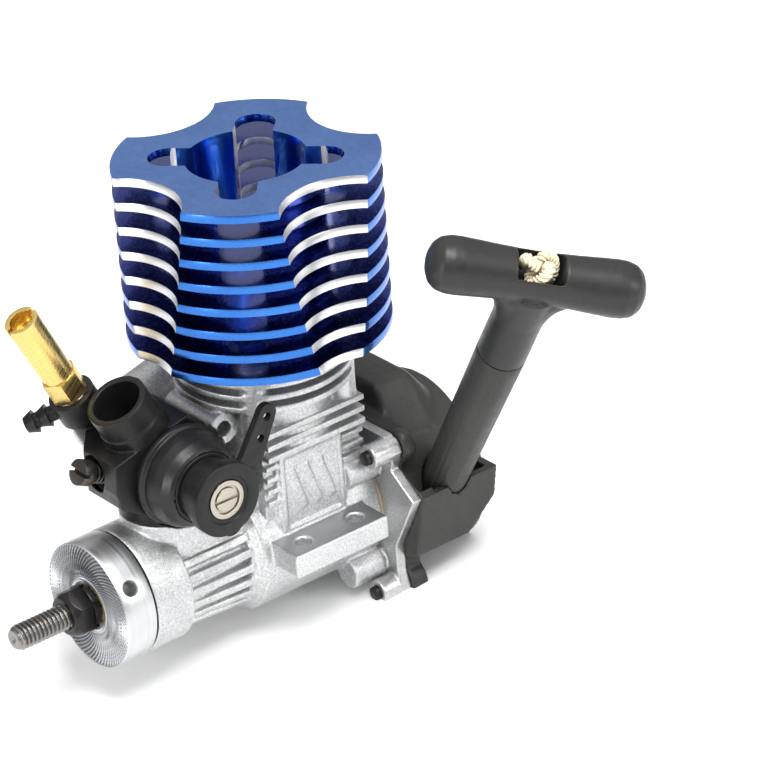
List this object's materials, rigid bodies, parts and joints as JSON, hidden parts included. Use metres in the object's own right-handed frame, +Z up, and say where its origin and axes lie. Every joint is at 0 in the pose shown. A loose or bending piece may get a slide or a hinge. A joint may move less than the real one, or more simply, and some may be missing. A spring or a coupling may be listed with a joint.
{
  "type": "model glow engine",
  "caption": "Small two-stroke glow engine with finned cooling head, rotary carburettor, threaded crankshaft nose and rope recoil starter with T-handle.",
  "frame": {"origin": "centre of the four mounting-lug holes, on the underside of the lugs, where the cylinder axis crosses the crankshaft axis", "axes": "+X forward along the crankshaft towards its threaded nose, +Y to the engine's left side, +Z up along the cylinder"},
  "size_m": [0.1027, 0.0878, 0.0914],
  "materials": {
    "cast_aluminium": "blasted die casting",
    "blue_anodised": "blue anodised, fin edges cut bare",
    "machined_aluminium": "turned",
    "steel": "ground",
    "chromed_liner": "honed",
    "black_steel": "black oxide",
    "bronze": "sintered bronze",
    "copper": "soft copper",
    "brass": "turned brass",
    "gasket_paper": "pressed fibre",
    "moulded_plastic": "glass-filled nylon",
    "starter_plastic": "moulded nylon, fine texture",
    "boot_rubber": "satin rubber",
    "rope": "braided cotton"
  },
  "bodies": {
    "engine": {"crankcase": "cast_aluminium", "cylinder_liner": "chromed_liner", "head_gasket": "copper", "head_button": "machined_aluminium", "cooling_head": "blue_anodised", "head_bolts": "black_steel", "glow_plug": "steel", "glow_plug_washer": "copper", "rear_bearing_outer": "steel", "front_bearing_outer": "steel", "backplate_gasket": "gasket_paper", "backplate": "cast_aluminium", "backplate_screws": "black_steel", "shaft_bush": "bronze", "starter_housing": "starter_plastic", "starter_screws": "black_steel", "recoil_spring": "steel", "rope_tube": "starter_plastic", "carb_body": "moulded_plastic", "carb_seal": "boot_rubber", "carb_clamp_bolt": "black_steel", "throttle_boot": "boot_rubber", "idle_spring": "steel", "fuel_inlet": "moulded_plastic", "inlet_washers": "steel", "needle_holder": "brass"},
    "crankshaft": {"crankshaft": "steel", "rear_bearing_inner": "steel", "front_bearing_inner": "steel", "drive_collet": "brass", "drive_washer": "machined_aluminium", "lock_washer": "black_steel", "nose_nut": "black_steel"},
    "crank_pin": {"crank_pin": "steel"},
    "piston": {"piston": "machined_aluminium", "wrist_pin": "steel", "wrist_pin_clips": "steel", "connecting_rod": "machined_aluminium", "big_end_bush": "bronze", "small_end_bush": "bronze"},
    "rear_ball_set": {"rear_bearing_balls": "steel", "rear_bearing_cage": "bronze"},
    "front_ball_set": {"front_bearing_balls": "steel", "front_bearing_cage": "bronze"},
    "starter_shaft": {"starter_shaft": "steel"},
    "reel": {"rope_reel": "starter_plastic", "rope_winding": "rope", "one_way_bearing": "steel"},
    "handle": {"pull_handle": "starter_plastic", "rope_run": "rope", "rope_knot": "rope"},
    "throttle": {"throttle_barrel": "machined_aluminium", "throttle_arm": "moulded_plastic", "end_disc": "moulded_plastic"},
    "low_speed_needle": {"low_speed_needle": "brass"},
    "high_speed_needle": {"high_speed_needle": "brass"},
    "idle_stop_screw": {"idle_stop_screw": "black_steel"}
  },
  "joints": [
    {"name": "crank_spin", "type": "hinge", "parent": "engine", "child": "crankshaft", "pos_m": [0, 0, 0], "axis": [1, 0, 0], "continuous": true},
    {"name": "crank_pin_turn", "type": "hinge", "parent": "crankshaft", "child": "crank_pin", "pos_m": [0, 0, 0.00335], "axis": [1, 0, 0], "continuous": true},
    {"name": "rod_turn", "type": "hinge", "parent": "crank_pin", "child": "piston", "pos_m": [0, 0, 0.0067], "axis": [1, 0, 0], "continuous": true},
    {"name": "rear_balls_roll", "type": "hinge", "parent": "engine", "child": "rear_ball_set", "pos_m": [0.0095, 0, 0], "axis": [1, 0, 0], "continuous": true},
    {"name": "front_balls_roll", "type": "hinge", "parent": "engine", "child": "front_ball_set", "pos_m": [0.033, 0, 0], "axis": [1, 0, 0], "continuous": true},
    {"name": "starter_shaft_spin", "type": "hinge", "parent": "engine", "child": "starter_shaft", "pos_m": [-0.02, 0, 0], "axis": [1, 0, 0], "continuous": true},
    {"name": "handle_pull", "type": "slide", "parent": "engine", "child": "handle", "axis": [0, 0.4924, 0.8704], "range_m": [0, 0.32], "stiffness_N_per_m": 6, "springref_m": -0.1},
    {"name": "reel_spin", "type": "hinge", "parent": "engine", "child": "reel", "pos_m": [-0.026, 0, 0], "axis": [1, 0, 0], "range_deg": [0, 1460]},
    {"name": "throttle_turn", "type": "hinge", "parent": "engine", "child": "throttle", "pos_m": [0.0245, 0, 0.0222], "axis": [0, 1, 0], "range_deg": [0, 65]},
    {"name": "low_speed_adjust", "type": "hinge", "parent": "throttle", "child": "low_speed_needle", "pos_m": [0.0245, 0.019, 0.0222], "axis": [0, 1, 0], "range_deg": [-720, 720]},
    {"name": "high_speed_adjust", "type": "hinge", "parent": "engine", "child": "high_speed_needle", "pos_m": [0.0335, -0.011, 0.0336], "axis": [0.4352, 0, 0.9003], "range_deg": [-720, 1080]},
    {"name": "idle_stop_adjust", "type": "hinge", "parent": "engine", "child": "idle_stop_screw", "pos_m": [0.0335, -0.002, 0.0223], "axis": [0.9026, 0, 0.4305], "range_deg": [-720, 720]}
  ],
  "couplings": [
    {"joint": "crank_pin_turn", "follows": "crank_spin", "ratio": -2},
    {"joint": "rod_turn", "follows": "crank_spin", "ratio": 1},
    {"joint": "rear_balls_roll", "follows": "crank_spin", "ratio": 0.4138},
    {"joint": "front_balls_roll", "follows": "crank_spin", "ratio": 0.4048},
    {"joint": "starter_shaft_spin", "follows": "crank_spin", "ratio": 1},
    {"joint": "reel_spin", "follows": "handle_pull", "rad_per_m": 79.365}
  ]
}
